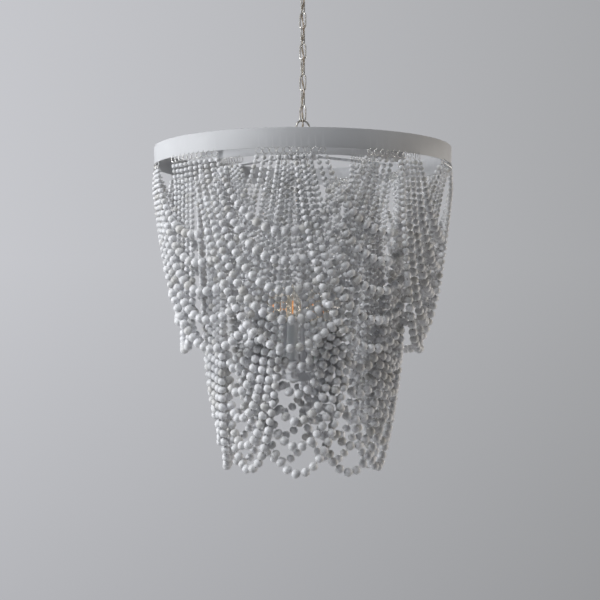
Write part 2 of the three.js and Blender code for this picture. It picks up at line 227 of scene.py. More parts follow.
def softEdges(piece, width, segments=2, angle=35):
    bevel = piece.modifiers.new("softEdges", "BEVEL")
    bevel.width = width * mm
    bevel.segments = segments
    bevel.limit_method = "ANGLE"
    bevel.angle_limit = math.radians(angle)
    bevel.harden_normals = True
    return finishModifiers(piece)


def cutAway(piece, cutters):
    for cutter in cutters:
        cut = piece.modifiers.new("cut", "BOOLEAN")
        cut.operation = "DIFFERENCE"
        cut.object = cutter
        cut.solver = "EXACT"
    finishModifiers(piece)
    for cutter in cutters:
        bpy.data.objects.remove(cutter)


def newBar(name, points):
    faces = [(0, 1, 3, 2), (4, 6, 7, 5), (0, 4, 5, 1), (2, 3, 7, 6), (0, 2, 6, 4), (1, 5, 7, 3)]
    bar = newPiece(name, points, faces, smooth=False)
    faceOut(bar)
    return bar


def place(piece, body, slot, *nodes):
    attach(piece, body)
    if nodes:
        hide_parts(*nodes)
    return piece


def newTree(name, inputs):
    tree = bpy.data.node_groups.new(name, "GeometryNodeTree")
    face = tree.interface
    face.new_socket("Geometry", in_out="INPUT", socket_type="NodeSocketGeometry")
    for label, kind, value in inputs:
        socket = face.new_socket(label, in_out="INPUT", socket_type="NodeSocket" + kind)
        if value is not None:
            socket.default_value = value
    face.new_socket("Geometry", in_out="OUTPUT", socket_type="NodeSocketGeometry")
    return tree, addNode(tree, "NodeGroupInput"), addNode(tree, "NodeGroupOutput")


def addNode(tree, kind, settings=None, **sockets):
    # sockets by name with spaces left out: a value, or a pair of node and output name
    node = tree.nodes.new(kind)
    for key, value in (settings or {}).items():
        setattr(node, key, value)
    for key, value in sockets.items():
        target = next(s for s in node.inputs if s.name.replace(" ", "") == key and s.enabled)
        if isinstance(value, tuple) and hasattr(value[0], "outputs"):
            source = value[0].outputs
            tree.links.new(next(s for s in source if s.name == value[1] and s.enabled), target)
        else:
            target.default_value = value
    return node


def geoNode(tree, kind, settings=None, **sockets):
    return addNode(tree, "GeometryNode" + kind, settings, **sockets)


def shaderNode(tree, kind, settings=None, **sockets):
    return addNode(tree, "ShaderNode" + kind, settings, **sockets)


def setSpan(node, *values):
    for key, value in zip(("From Min", "From Max", "To Min", "To Max"), values):
        node.inputs[key].default_value = value


def setRamp(ramp, *stops):
    for k, (position, tint) in enumerate(stops):
        ramp.color_ramp.elements[k].position = position
        ramp.color_ramp.elements[k].color = tint


def runTree(piece, tree, **values):
    modifier = piece.modifiers.new(tree.name, "NODES")
    modifier.node_group = tree
    for item in tree.interface.items_tree:
        key = item.name.replace(" ", "")
        if item.in_out == "INPUT" and key in values:
            modifier[item.identifier] = values[key]
    return finishModifiers(piece)


# a round tube along the edges of a mesh, for wires, arms and loops
def makeTubeTree():
    tree, start, end = newTree("tubeAlong",
                               [("Radius", "Float", 0.001), ("Sides", "Int", 12),
                                ("Material", "Material", None)])
    path = geoNode(tree, "MeshToCurve", Mesh=(start, "Geometry"))
    ring = geoNode(tree, "CurvePrimitiveCircle", Resolution=(start, "Sides"), Radius=(start, "Radius"))
    tube = geoNode(tree, "CurveToMesh", Curve=(path, "Curve"), ProfileCurve=(ring, "Curve"), FillCaps=True)
    smooth = geoNode(tree, "SetShadeSmooth", Geometry=(tube, "Mesh"))
    real = geoNode(tree, "RealizeInstances", Geometry=(smooth, "Geometry"))
    dressed = geoNode(tree, "SetMaterial", Geometry=(real, "Geometry"), Material=(start, "Material"))
    tree.links.new(dressed.outputs[0], end.inputs[0])
    return tree


# beads on the vertices that carry a radius, and a thread along the edges
def makeBeadTree():
    tree, start, end = newTree("beadStrings", [
        ("Facets", "Int", 4), ("Shortness", "Float", 0.95), ("Thread Radius", "Float", 0.0005),
        ("Bead Material", "Material", None), ("Thread Material", "Material", None)])
    cube = geoNode(tree, "MeshCube", Size=(2, 2, 2), VerticesX=(start, "Facets"),
                   VerticesY=(start, "Facets"), VerticesZ=(start, "Facets"))
    where = geoNode(tree, "InputPosition")
    ball = shaderNode(tree, "VectorMath", {"operation": "NORMALIZE"}, Vector=(where, "Position"))
    short = shaderNode(tree, "CombineXYZ", X=1.0, Y=1.0, Z=(start, "Shortness"))
    squat = shaderNode(tree, "VectorMath", {"operation": "MULTIPLY"})
    tree.links.new(ball.outputs[0], squat.inputs[0])
    tree.links.new(short.outputs[0], squat.inputs[1])
    rounded = geoNode(tree, "SetPosition", Geometry=(cube, "Mesh"), Position=(squat, "Vector"))
    kept = geoNode(tree, "StoreNamedAttribute", {"data_type": "FLOAT_VECTOR", "domain": "POINT"},
                   Geometry=(rounded, "Geometry"), Name="beadPlace", Value=(where, "Position"))
    smooth = geoNode(tree, "SetShadeSmooth", Geometry=(kept, "Geometry"))
    size = geoNode(tree, "InputNamedAttribute", {"data_type": "FLOAT"}, Name="beadRadius")
    along = geoNode(tree, "InputNamedAttribute", {"data_type": "FLOAT_VECTOR"}, Name="beadAlong")
    turn = addNode(tree, "FunctionNodeAlignRotationToVector", {"axis": "Z"}, Vector=(along, "Attribute"))
    isBead = addNode(tree, "FunctionNodeCompare", {"data_type": "FLOAT", "operation": "GREATER_THAN"},
                     A=(size, "Attribute"), B=0.0001)
    beads = geoNode(tree, "InstanceOnPoints", Points=(start, "Geometry"), Selection=(isBead, "Result"),
                    Instance=(smooth, "Geometry"), Rotation=(turn, "Rotation"), Scale=(size, "Attribute"))
    real = geoNode(tree, "RealizeInstances", Geometry=(beads, "Instances"))
    dressed = geoNode(tree, "SetMaterial", Geometry=(real, "Geometry"), Material=(start, "Bead Material"))
    path = geoNode(tree, "MeshToCurve", Mesh=(start, "Geometry"))
    ring = geoNode(tree, "CurvePrimitiveCircle", Resolution=3, Radius=(start, "Thread Radius"))
    thread = geoNode(tree, "CurveToMesh", Curve=(path, "Curve"), ProfileCurve=(ring, "Curve"), FillCaps=True)
    threadDressed = geoNode(tree, "SetMaterial", Geometry=(thread, "Mesh"),
                            Material=(start, "Thread Material"))
    both = geoNode(tree, "JoinGeometry")
    tree.links.new(dressed.outputs[0], both.inputs[0])
    tree.links.new(threadDressed.outputs[0], both.inputs[0])
    tree.links.new(both.outputs[0], end.inputs[0])
    return tree


# wire rings on points, each facing its own way
def makeJumpRingTree():
    tree, start, end = newTree("jumpRings", [
        ("Ring Radius", "Float", 0.005), ("Wire Radius", "Float", 0.00065), ("Material", "Material", None)])
    circle = geoNode(tree, "CurvePrimitiveCircle", Resolution=12, Radius=(start, "Ring Radius"))
    wire = geoNode(tree, "CurvePrimitiveCircle", Resolution=5, Radius=(start, "Wire Radius"))
    ring = geoNode(tree, "CurveToMesh", Curve=(circle, "Curve"), ProfileCurve=(wire, "Curve"))
    smooth = geoNode(tree, "SetShadeSmooth", Geometry=(ring, "Mesh"))
    facing = geoNode(tree, "InputNamedAttribute", {"data_type": "FLOAT_VECTOR"}, Name="facing")
    turn = addNode(tree, "FunctionNodeAlignRotationToVector", {"axis": "Z"}, Vector=(facing, "Attribute"))
    rings = geoNode(tree, "InstanceOnPoints", Points=(start, "Geometry"), Instance=(smooth, "Geometry"),
                    Rotation=(turn, "Rotation"))
    real = geoNode(tree, "RealizeInstances", Geometry=(rings, "Instances"))
    dressed = geoNode(tree, "SetMaterial", Geometry=(real, "Geometry"), Material=(start, "Material"))
    tree.links.new(dressed.outputs[0], end.inputs[0])
    return tree


def colour(red, green, blue):
    # from the 0 to 255 of a screen to the shader's own scale
    parts = [value / 255 for value in (red, green, blue)]
    return tuple(p / 12.92 if p <= 0.04045 else ((p + 0.055) / 1.055) ** 2.4 for p in parts) + (1,)


def newMaterial(name):
    material = bpy.data.materials.new(name)
    material.use_nodes = True
    return material, material.node_tree, material.node_tree.nodes["Principled BSDF"]


def newFinish(name, look):
    # look: light and dark tone, a cloud of that scale between them, roughness and relief
    material, tree, shader = newMaterial(name)
    for key, value in look.get("shader", {}).items():
        shader.inputs[key].default_value = value
    coords = shaderNode(tree, "TexCoord")
    mapping = shaderNode(tree, "Mapping", Vector=(coords, "Object"), Scale=look.get("stretch", (1, 1, 1)))
    cloud = shaderNode(tree, "TexNoise", Vector=(mapping, "Vector"), Scale=look["scale"], Detail=4.0,
                       Roughness=0.55)
    low, high = look.get("spread", (0.35, 0.65))
    ramp = shaderNode(tree, "ValToRGB")
    setRamp(ramp, (low, look["dark"]), (high, look["light"]))
    tree.links.new(cloud.outputs[0], ramp.inputs[0])
    tree.links.new(ramp.outputs["Color"], shader.inputs["Base Color"])
    span = shaderNode(tree, "MapRange")
    setSpan(span, low, high, look["rough"][1], look["rough"][0])
    tree.links.new(cloud.outputs[0], span.inputs["Value"])
    tree.links.new(span.outputs["Result"], shader.inputs["Roughness"])
    relief = look.get("relief")
    if relief:
        grain = shaderNode(tree, "TexNoise", Vector=(mapping, "Vector"), Scale=relief["scale"], Detail=2.0)
        bump = shaderNode(tree, "Bump", Strength=relief["strength"], Distance=relief["depth"] * mm)
        tree.links.new(grain.outputs[0], bump.inputs["Height"])
        tree.links.new(bump.outputs["Normal"], shader.inputs["Normal"])
    return material


satin = {
    "scale": 14, "spread": (0.3, 0.7), "rough": (0.6, 0.72),
    "relief": {"scale": 900, "strength": 0.12, "depth": 0.1},
    "shader": {"Metallic": 0.0, "Specular IOR Level": 0.35}}
paint = newFinish("satinPaint", satin | {"light": colour(226, 227, 230), "dark": colour(216, 217, 221)})
# the bands take a darker copy of the same white paint: painted shade that sets their tone under the lamps
shadedBandPaint = newFinish("satinBandPaintShaded", satin | {"light": colour(199, 200, 203),
                                                 "dark": colour(193, 194, 197)})
chainMetal = newFinish("agedSteel", {
    "light": colour(190, 188, 183), "dark": colour(118, 113, 104), "scale": 160, "spread": (0.3, 0.62),
    "rough": (0.28, 0.5), "relief": {"scale": 1400, "strength": 0.25, "depth": 0.1},
    "shader": {"Metallic": 0.9}})
jumpWire = newFinish("jumpRingWire", {
    "light": colour(206, 206, 205), "dark": colour(150, 149, 146), "scale": 240, "spread": (0.3, 0.7),
    "rough": (0.2, 0.36), "shader": {"Metallic": 0.95}})
zinc = newFinish("zincPlate", {
    "light": colour(196, 198, 200), "dark": colour(160, 163, 166), "scale": 60, "spread": (0.35, 0.6),
    "rough": (0.32, 0.5), "relief": {"scale": 500, "strength": 0.2, "depth": 0.1},
    "shader": {"Metallic": 0.9}})
cordPlastic = newFinish("cordPlastic", {
    "light": colour(172, 162, 148), "dark": colour(132, 114, 94), "scale": 90, "stretch": (1, 1, 0.3),
    "spread": (0.3, 0.7), "rough": (0.12, 0.25), "shader": {"Coat Weight": 0.6, "Coat Roughness": 0.08}})
sleevePlastic = newFinish("candleSleeve", {
    "light": colour(236, 238, 240), "dark": colour(222, 224, 227), "scale": 40, "stretch": (1, 1, 0.4),
    "rough": (0.5, 0.62), "relief": {"scale": 400, "strength": 0.15, "depth": 0.15},
    "shader": {"Subsurface Weight": 0.05}})
brass = newFinish("bulbBrass", {
    "light": colour(214, 190, 140), "dark": colour(176, 148, 96), "scale": 120, "rough": (0.2, 0.36),
    "shader": {"Metallic": 1.0}})
threadFibre = newFinish("threadFibre", {
    "light": colour(178, 172, 160), "dark": colour(130, 124, 112), "scale": 700, "rough": (0.7, 0.85),
    "relief": {"scale": 2600, "strength": 0.5, "depth": 0.2}})


def makeGlass():
    material, tree, shader = newMaterial("bulbGlass")
    shader.inputs["Base Color"].default_value = colour(255, 252, 246)
    shader.inputs["Transmission Weight"].default_value = 1
    shader.inputs["IOR"].default_value = 1.45
    coords = shaderNode(tree, "TexCoord")
    haze = shaderNode(tree, "TexNoise", Vector=(coords, "Object"), Scale=40.0, Detail=2.0)
    span = shaderNode(tree, "MapRange")
    tree.links.new(haze.outputs[0], span.inputs["Value"])
    setSpan(span, 0, 1, 0, 0.03)
    tree.links.new(span.outputs["Result"], shader.inputs["Roughness"])
    return material


def makeFilament():
    material, tree, shader = newMaterial("filamentGlow")
    shader.inputs["Base Color"].default_value = colour(240, 180, 90)
    shader.inputs["Roughness"].default_value = 0.5
    coords = shaderNode(tree, "TexCoord")
    dots = shaderNode(tree, "TexNoise", Vector=(coords, "Object"), Scale=600.0, Detail=0.0)
    ramp = shaderNode(tree, "ValToRGB")
    tree.links.new(dots.outputs[0], ramp.inputs[0])
    setRamp(ramp, (0.35, colour(206, 112, 34)), (0.65, colour(240, 160, 74)))
    tree.links.new(ramp.outputs["Color"], shader.inputs["Emission Color"])
    shader.inputs["Emission Strength"].default_value = 0.9
    return material


def makeLimewash():
    # pale wash over turned wood: fine grain round each bead, a tone of its own, and painted shade at each end
    # where the bore hole is
    material, tree, shader = newMaterial("limewashedWood")
    spot = shaderNode(tree, "Attribute", {"attribute_name": "beadPlace"})
    tone = shaderNode(tree, "Attribute", {"attribute_name": "beadTone"})
    shift = shaderNode(tree, "VectorMath", {"operation": "MULTIPLY_ADD"})
    tree.links.new(tone.outputs["Fac"], shift.inputs[0])
    shift.inputs[1].default_value = (37, 91, 53)
    tree.links.new(spot.outputs["Vector"], shift.inputs[2])
    stretched = shaderNode(tree, "Mapping", Vector=(shift, "Vector"), Scale=(1, 1, 0.16),
                           Rotation=(0.9, 0.5, 0))
    grain = shaderNode(tree, "TexNoise", Vector=(stretched, "Vector"), Scale=7.0, Detail=5.0, Roughness=0.62)
    ramp = shaderNode(tree, "ValToRGB")
    tree.links.new(grain.outputs[0], ramp.inputs[0])
    setRamp(ramp, (0.3, colour(184, 183, 181)), (0.52, colour(232, 233, 236)))
    dim = shaderNode(tree, "ValToRGB", Fac=(tone, "Fac"))
    setRamp(dim, (0, (0.76, 0.745, 0.71, 1)), (1, (0.99, 0.99, 1, 1)))
    middle = dim.color_ramp.elements.new(0.25)
    middle.color = (0.9, 0.9, 0.9, 1)
    washed = shaderNode(tree, "Mix", {"data_type": "RGBA", "blend_type": "MULTIPLY"})
    washed.inputs[0].default_value = 1
    tree.links.new(ramp.outputs["Color"], washed.inputs[6])
    tree.links.new(dim.outputs["Color"], washed.inputs[7])
    apart = shaderNode(tree, "SeparateXYZ", Vector=(spot, "Vector"))
    side = shaderNode(tree, "CombineXYZ", X=(apart, "X"), Y=(apart, "Y"), Z=0.0)
    fromAxis = shaderNode(tree, "VectorMath", {"operation": "LENGTH"}, Vector=(side, "Vector"))
    # painted shade: round the axis at each end of the bead, where the bore hole runs, the colour turns near
    # black
    bore = shaderNode(tree, "MapRange", Value=(fromAxis, "Value"))
    setSpan(bore, 0.1, 0.16)
    boreShadePainted = shaderNode(tree, "Mix", {"data_type": "RGBA"})
    tree.links.new(bore.outputs["Result"], boreShadePainted.inputs[0])
    boreShadePainted.inputs[6].default_value = colour(54, 50, 46)
    tree.links.new(washed.outputs[2], boreShadePainted.inputs[7])
    tree.links.new(boreShadePainted.outputs[2], shader.inputs["Base Color"])
    span = shaderNode(tree, "MapRange")
    tree.links.new(grain.outputs[0], span.inputs["Value"])
    setSpan(span, 0, 1, 0.58, 0.4)
    tree.links.new(span.outputs["Result"], shader.inputs["Roughness"])
    bump = shaderNode(tree, "Bump", Strength=0.35, Distance=0.25 * mm)
    tree.links.new(grain.outputs[0], bump.inputs["Height"])
    tree.links.new(bump.outputs["Normal"], shader.inputs["Normal"])
    return material


glass = makeGlass()
filamentGlow = makeFilament()
limewash = makeLimewash()
tubeTree = makeTubeTree()
beadTree = makeBeadTree()
jumpRingTree = makeJumpRingTree()
print("finishes and trees ready")


def dress(piece, material):
    piece.data.materials.clear()
    piece.data.materials.append(material)
    return piece


def tube(name, points, radius, material, sides=12, closed=False):
    count = len(points)
    edges = [(i, i + 1) for i in range(count - 1)] + ([(count - 1, 0)] if closed else [])
    piece = newPiece(name, points, [], edges)
    return runTree(piece, tubeTree, Radius=radius * mm, Sides=sides, Material=material)


def ovalPath(halfHeight, halfWidth, z, deg, steps=12):
    # a wire's middle line, upright, with round ends
    across = polar(1, deg, 0)
    points = []
    for end in (1, -1):
        for k in range(steps + 1):
            turn = math.pi * k / steps
            points.append(across * (end * halfWidth * math.cos(turn))
                          + Vector((0, 0, z + end * (halfHeight - halfWidth + halfWidth * math.sin(turn)))))
    return points


# supply cord, woven through the links: one piece for each pivot, from the middle of a link to the next
cord = {"swing": 6.6, "swingAtTop": 7.6, "swingAtLoop": 6, "turnDeg": -73, "turnAtLoopDeg": -90,
        "topZ": -31.6, "bottomZ": -336.7, "steps": 10, "twistPitch": 46, "leadRadius": 1.25,
        "leadApart": 1.05, "bend": 6}
pivotZ = [heights["firstPivot"]]
pivotZ += [heights["firstLink"] - heights["linkPitch"] * (j - 1) - heights["linkHalf"] for j in range(1, 9)]
links = ["canopy"] + [f"link_{j}" for j in range(1, 9)] + ["lamp"]


def cordStations():
    points = []
    for pivot, z in enumerate(pivotZ):
        swing = cord["swingAtTop"] if pivot == 0 else cord["swingAtLoop"] if pivot == 8 else cord["swing"]
        deg = (cord["turnAtLoopDeg"] if pivot == 8 else cord["turnDeg"]) + (180 if (8 - pivot) % 2 else 0)
        points.append(polar(swing, deg, z))
    top, bottom = points[0].copy(), points[-1].copy()
    top.z, bottom.z = cord["topZ"], cord["bottomZ"]
    return [top] + points + [bottom]


def cordPath():
    stations = cordStations()
    path = []
    for a, b in zip(stations, stations[1:]):
        for k in range(cord["steps"]):
            share = k / cord["steps"]
            across = (1 - math.cos(math.pi * share)) / 2
            point = a.lerp(b, across)
            point.z = lerp(a.z, b.z, share)
            path.append(point)
    return path + [stations[-1]]


def makeCord():
    path = cordPath()
    cuts = [0] + [cord["steps"] * (k + 1) + cord["steps"] // 2 for k in range(8)] + [len(path) - 1]
    for number in range(9):
        part = path[cuts[number]:cuts[number + 1] + 1]
        leads = []
        for side in (0, math.pi):
            middle = []
            for point in part:
                turn = 2 * math.pi * -point.z / cord["twistPitch"] + side
                middle.append(point + Vector((math.cos(turn), math.sin(turn), 0)) * cord["leadApart"])
            leads.append(tube(f"lead{number}", middle, cord["leadRadius"], cordPlastic, 10))
        piece = merged(f"supply_cord_piece_{number + 1}", leads)
        start = Vector((0, 0, pivotZ[number] + cord["bend"])) * mm
        end = Vector((0, 0, pivotZ[number] - cord["bend"])) * mm
        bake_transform(piece, links[number], links[number + 1], start=tuple(start), end=tuple(end))
        nodes = [f"supply_cord_{number + 1}"] + (["supply_cord_10"] if number == 8 else [])
        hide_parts(*nodes)


makeCord()
print("supply cord made")

# chain: oval links of round wire with a weld bulge on one side, half sizes to the outside of the wire
link = {"halfLength": 17.65, "halfWidth": 8, "wire": 1.5, "oddDeg": 62, "evenDeg": -28,
        "weldAt": (-1.1, -0.4, 0.4, 1.1), "weldSwell": 1.12, "weldEdge": 0.3}


def makeChain():
    for number in range(1, 9):
        z = heights["firstLink"] - heights["linkPitch"] * (number - 1)
        deg = link["oddDeg"] if number % 2 else link["evenDeg"]
        path = ovalPath(link["halfLength"] - link["wire"], link["halfWidth"] - link["wire"], z, deg)
        ring = tube(f"link{number}", path, link["wire"], chainMetal, 12, closed=True)
        side = polar(link["halfWidth"] - link["wire"], deg, z)
        along = [side + Vector((0, 0, h)) for h in link["weldAt"]]
        weld = tube(f"weld{number}", along, link["wire"] * link["weldSwell"], chainMetal, 10)
        softEdges(weld, link["weldEdge"])
        place(merged(f"chain_link_{number}_wire", [ring, weld]), f"link_{number}", "chain",
              f"chain_link_{number}")


makeChain()
print("chain made")

# ceiling fittings: strap, canopy with a rolled rim, and the loop on its stud
canopy = {"radius": 62.5, "depth": 26, "sheet": 1.2, "rim": 4, "floor": 18, "hole": 5.4, "edge": 0.5,
          "roll": 1.1, "rollZ": -1.6, "sides": 96}
canopyLoop = {"radius": 12, "wire": 2.5, "turnDeg": -28, "flange": 13, "top": -26.3, "bottom": -31.3,
              "stud": 5}
strap = {"length": 100, "width": 16, "thickness": 2.5, "hole": 5.3, "slot": 4.2,
         "slotApart": 70, "slotSteps": (-4, -2, 0, 2, 4), "edge": 0.4}


def makeCanopy():
    radius, depth, sheet = canopy["radius"], canopy["depth"], canopy["sheet"]
    roll, edge = canopy["roll"], canopy["edge"]

    def dome(wall, steps=14):
        reach = radius - wall - canopy["floor"]
        fall = depth - wall - canopy["rim"]
        return [(canopy["floor"] + reach * math.sin(a), -canopy["rim"] - fall * math.cos(a))
                for a in (math.pi / 2 * i / steps for i in range(steps + 1))]

    outer, inner = dome(0), dome(sheet)
    profile = ([(canopy["hole"], -depth)] + outer + [(radius, -edge), (radius - edge, 0),
               (radius - sheet, 0)] + inner[::-1] + [(canopy["hole"], -depth + sheet)])
    shell = dress(lathe("shell", profile, canopy["sides"], closed=True), paint)
    bead = [(radius - roll + roll * math.cos(a), canopy["rollZ"] + roll * math.sin(a))
            for a in (2 * math.pi * i / 10 for i in range(10))]
    rim = dress(lathe("rim", bead, canopy["sides"], closed=True), paint)
    place(merged("canopy_shell", [shell, rim]), "canopy", "paint", "ceiling_canopy")


def makeCanopyLoop():
    loop = canopyLoop
    profile = [(0, loop["bottom"]), (loop["flange"] - 3, loop["bottom"]),
               (loop["flange"], loop["bottom"] + 1.5),
               (loop["flange"], loop["top"]), (loop["stud"], loop["top"]), (loop["stud"], -0.6), (0, -0.6)]
    flange = dress(lathe("flange", softened(profile, 0.8), 48), chainMetal)
    path = ovalPath(loop["radius"], loop["radius"], heights["canopyLoop"], loop["turnDeg"], 18)
    ring = tube("ring", path, loop["wire"], chainMetal, 14, closed=True)
    nut = dress(lathe("nut", [(loop["stud"], -2.8), (9, -2.8), (9, -7.2), (loop["stud"], -7.2)], 6,
                      closed=True), zinc)
    place(merged("canopy_loop_wire", [flange, ring, nut]), "canopy", "chain", "canopy_loop")


def makeStrap():
    # a bar with a slot near each end and a hole for the stud
    half, wide, deep = strap["length"] / 2, strap["width"] / 2, strap["thickness"]
    bar = newBar("bar", [(x, y, z) for x in (-half, half) for y in (-wide, wide) for z in (-deep, 0)])
    cutters = [lathe("hole", [(0, -9), (strap["hole"], -9), (strap["hole"], 9), (0, 9)], 32)]
    for side in (-1, 1):
        middle = side * strap["slotApart"] / 2
        for step in strap["slotSteps"]:
            cutters.append(lathe("slot", [(0, -9), (strap["slot"] / 2, -9), (strap["slot"] / 2, 9), (0, 9)],
                                 24,
                                 centre=(middle + step, 0)))
    cutAway(bar, cutters)
    bar.name = "strap_bar"
    softEdges(dress(bar, zinc), strap["edge"])
    place(bar, "canopy", "strap", "ceiling_strap")


makeCanopy()
makeCanopyLoop()
makeStrap()
print("ceiling fittings made")

# the lamp's own loop, stem, hub and spokes
lampLoop = {"radius": 15.25, "wire": 2, "turnDeg": 28, "base": 9, "top": -337, "bottom": -349}
stem = {"radius": 5, "top": -349.3, "bottom": -842.2, "bore": 3.5}
hub = {"radius": 32, "top": -379.5, "thickness": 6, "boss": 9.2, "bossTop": -367.5, "bore": 5.3}
spoke = {"start": 9.5, "end": 302.5, "width": 16, "bottom": -379.2, "top": -376.2, "turnDeg": -49.4,
         "edge": 0.6, "screwsAt": (17, 27), "screwSunk": 0.2}


def makeLoopAndStem():
    loop = lampLoop
    low, high, wide = loop["bottom"], loop["top"], loop["base"]
    profile = [(0, low - 10, 0), (3.2, low - 10, 0), (3.2, low, 0), (wide - 0.8, low),
               (wide, low + 3), (wide, high - 3), (wide - 1.6, high - 1), (4, high),
               (0, high, 0)]
    base = dress(lathe("base", softened(profile, 1.2), 48), chainMetal)
    path = ovalPath(loop["radius"], loop["radius"], heights["loop"], loop["turnDeg"], 20)
    ring = tube("ring", path, loop["wire"], chainMetal, 14, closed=True)
    place(merged("lamp_loop", [base, ring]), "lamp", "chain", "hanging_loop")
    inner = stem["bore"]
    profile = [(inner, stem["bottom"]), (stem["radius"], stem["bottom"]), (stem["radius"], stem["top"]),
               (inner, stem["top"])]
    rod = dress(lathe("rod", softened(profile, 0.4, closed=True), 32, closed=True), paint)
    place(rod, "lamp", "paint", "centre_stem")
    rod.name = "stem_tube"


def screwHead(name, centre, top, radius=3.2, height=1.8):
    # a domed head
    dome = [(0, top + height)] + [(radius * math.sin(a), top + height * math.cos(a))
                                  for a in (0.35, 0.7, 1.05, 1.4)]
    head = lathe(name, dome + [(radius, top), (0, top)], 16, centre=centre)
    return dress(head, zinc)


def makeFrame():
    top, boss = hub["top"], hub["boss"]
    profile = [(hub["bore"], top - hub["thickness"]), (hub["radius"], top - hub["thickness"]),
               (hub["radius"], top), (boss + 1.5, top), (boss, top + 1.5),
               (boss, hub["bossTop"]), (hub["bore"], hub["bossTop"])]
    plate = dress(lathe("hub_plate", softened(profile, 1, closed=True), 64, closed=True), paint)
    place(plate, "lamp", "paint", "frame_hub")
    for number in range(4):
        deg = spoke["turnDeg"] + 90 * number
        along, across = polar(1, deg, 0), polar(1, deg + 90, 0)
        corners = [along * reach + across * wide + Vector((0, 0, z))
                   for reach in (spoke["start"], spoke["end"])
                   for wide in (-spoke["width"] / 2, spoke["width"] / 2)
                   for z in (spoke["bottom"], spoke["top"])]
        bar = softEdges(dress(newBar(f"bar{number}", corners), paint), spoke["edge"])
        heads = [screwHead("screw", (along * reach)[:2], spoke["top"] - spoke["screwSunk"])
                 for reach in spoke["screwsAt"]]
        place(merged(f"spoke_{number + 1}", [bar] + heads), "lamp", "paint", f"frame_spoke_{number + 1}")


# bands of sheet with a row of holes for the jump rings
def hookAngles(tier):
    angles = []
    for cluster in range(clusters["count"]):
        middle = -90 + clusters["turnDeg"] + 360 / clusters["count"] * cluster
        for row in range(clusters["rows"]):
            reach = 360 / clusters["count"] + (row - clusters["rows"] + 0.5) * tier["hookPitchDeg"]
            angles += [middle - reach, middle + reach]
    return angles


# overSide: the half of each swag that lies over the swag beside it, -1 left and 1 right seen from outside;
# sway: how far the swag sags to that side, where its beads are larger;
# fanPitchDeg: how far apart the strings of a cluster hang once they have spread from their hooks;
# stagger: how much lower the first bead of every other string hangs;
# lean and curl: how the curtain runs in below its ring, by the depth and by the depth squared;
# taper: how much more it draws in at the bottom;
# growth: the shares of each half's length between which the beads grow
upperTier = {"name": "upper", "ringRadius": bands["outerRadius"], "hookPitchDeg": 2.5, "fanPitchDeg": 2.5,
             "twistDeg": 15, "stagger": 0,
             "firstDrop": 153, "dropStep": 55.5, "endRadius": 4.8, "lowRadius": 9.3, "overSide": -1,
             "sway": 0.1, "lean": 0.139, "curl": 0.000103,
             "overGrowth": (0.06, 0.82), "underGrowth": (0.25, 1.02), "taper": 0}
lowerTier = {"name": "lower", "ringRadius": bands["innerRadius"], "hookPitchDeg": 1.9, "fanPitchDeg": 3.1,
             "twistDeg": 42, "stagger": 5,
             "firstDrop": 412, "dropStep": 51.5, "endRadius": 4.5, "lowRadius": 9.5, "overSide": 1,
             "sway": 0.05, "lean": 0.0075, "curl": 0.0001025,
             "overGrowth": (-0.05, 1.02), "underGrowth": (0, 1.04), "taper": 0.09}
jumpRing = {"radius": 5.9, "wire": 0.72, "below": 4.9, "twistSpread": 5, "holeAbove": 1.9, "hole": 1.3,
            "holeSides": 10, "seed": 5}


def makeBand(name, radius, height, tier, node):
    low = heights["ringBottom"]
    wall = bands["thickness"]
    profile = [(radius - wall, low), (radius, low), (radius, low + height), (radius - wall, low + height)]
    band = lathe(name, softened(profile, 0.5, 2, closed=True), 360, closed=True)
    cutter = bpy.data.meshes.new("holes")
    work = bmesh.new()
    for deg in hookAngles(tier):
        middle = polar(radius - wall / 2, deg, low + jumpRing["holeAbove"]) * mm
        turn = Matrix.Translation(middle) @ Matrix.Rotation(math.radians(deg), 4,
                                                            "Z") @ Matrix.Rotation(math.pi / 2, 4, "Y")
        bmesh.ops.create_cone(work, cap_ends=True, segments=jumpRing["holeSides"],
                              radius1=jumpRing["hole"] * mm, radius2=jumpRing["hole"] * mm,
                              depth=wall * 4 * mm, matrix=turn)
    work.to_mesh(cutter)
    work.free()
    holes = bpy.data.objects.new("holes", cutter)
    scene.collection.objects.link(holes)
    cutAway(band, [holes])
    work = bmesh.new()
    work.from_mesh(band.data)
    for edge in work.edges:
        edge.smooth = len(edge.link_faces) == 2 and edge.calc_face_angle(0) < math.radians(50)
    work.to_mesh(band.data)
    work.free()
    # the band wears the darker copy of the paint, with painted shade in its colour
    place(dress(band, shadedBandPaint), "lamp", "paint", node)


def makeJumpRings(name, radius, tier):
    chance = random.Random(jumpRing["seed"])
    points, facings = [], []
    for deg in hookAngles(tier):
        points.append(polar(radius - bands["thickness"] / 2, deg, heights["ringBottom"] - jumpRing["below"]))
        twist = tier["twistDeg"] + chance.uniform(-1, 1) * jumpRing["twistSpread"]
        facings.append(polar(1, deg + twist, 0))
    rings = newPiece(name, points, [])
    facing = rings.data.attributes.new("facing", "FLOAT_VECTOR", "POINT")
    facing.data.foreach_set("vector", np.array(facings, dtype=float).ravel())
    runTree(rings, jumpRingTree, RingRadius=jumpRing["radius"] * mm, WireRadius=jumpRing["wire"] * mm,
            Material=jumpWire)
    place(rings, "lamp", "chain")


makeLoopAndStem()
makeFrame()
makeBand("outer_band", bands["outerRadius"], bands["outerHeight"], upperTier, "outer_ring")
makeBand("inner_band", bands["innerRadius"], bands["innerHeight"], lowerTier, "inner_ring")
makeJumpRings("outer_jump_rings", bands["outerRadius"], upperTier)
makeJumpRings("inner_jump_rings", bands["innerRadius"], lowerTier)
print("frame and bands made")

